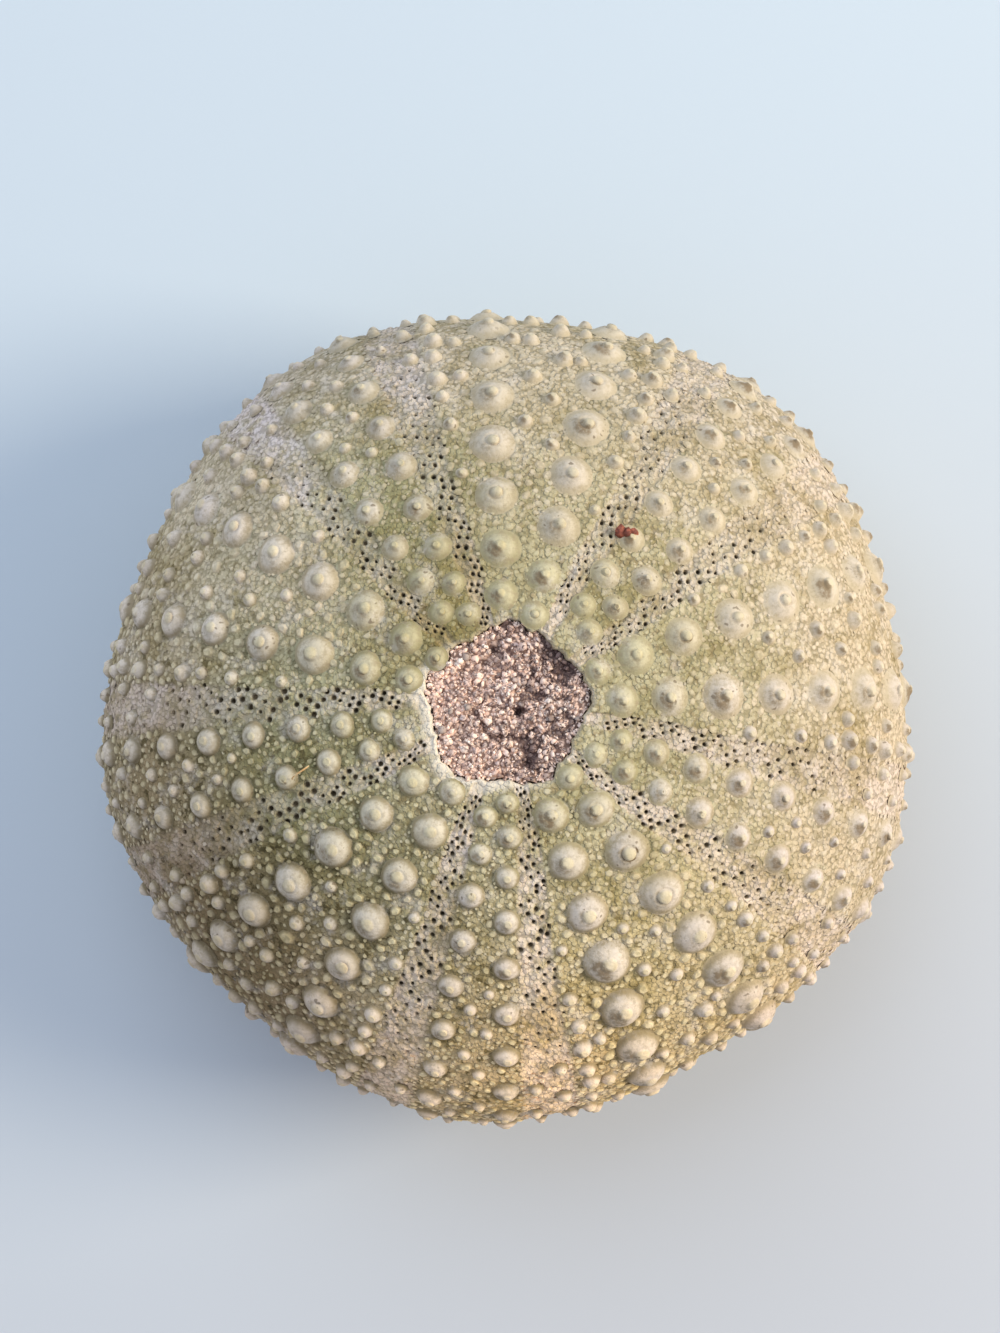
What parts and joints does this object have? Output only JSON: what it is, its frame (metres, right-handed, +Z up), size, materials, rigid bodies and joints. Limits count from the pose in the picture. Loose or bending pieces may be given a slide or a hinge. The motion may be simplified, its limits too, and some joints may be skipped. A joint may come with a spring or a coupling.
{
  "type": "fossil sea urchin",
  "caption": "Regular sea urchin test with rows of rounded tubercles and pore zones, filled with coarse sand that shows in its apical hole.",
  "frame": {"origin": "middle of the sand's flat foot, on the plane that the urchin rests on", "axes": "+Z up along the test's axis of growth, from the mouth to the apical hole; -Y towards a viewer at the near side"},
  "size_m": [0.06, 0.0602, 0.0304],
  "materials": {
    "test": "matt calcite, cream tubercles on olive green and pink-white pore zones",
    "sand_fill": "coarse pink-beige sand with dark grains"
  },
  "bodies": {
    "root": {"test": "test", "sand_fill": "sand_fill"}
  },
  "joints": []
}
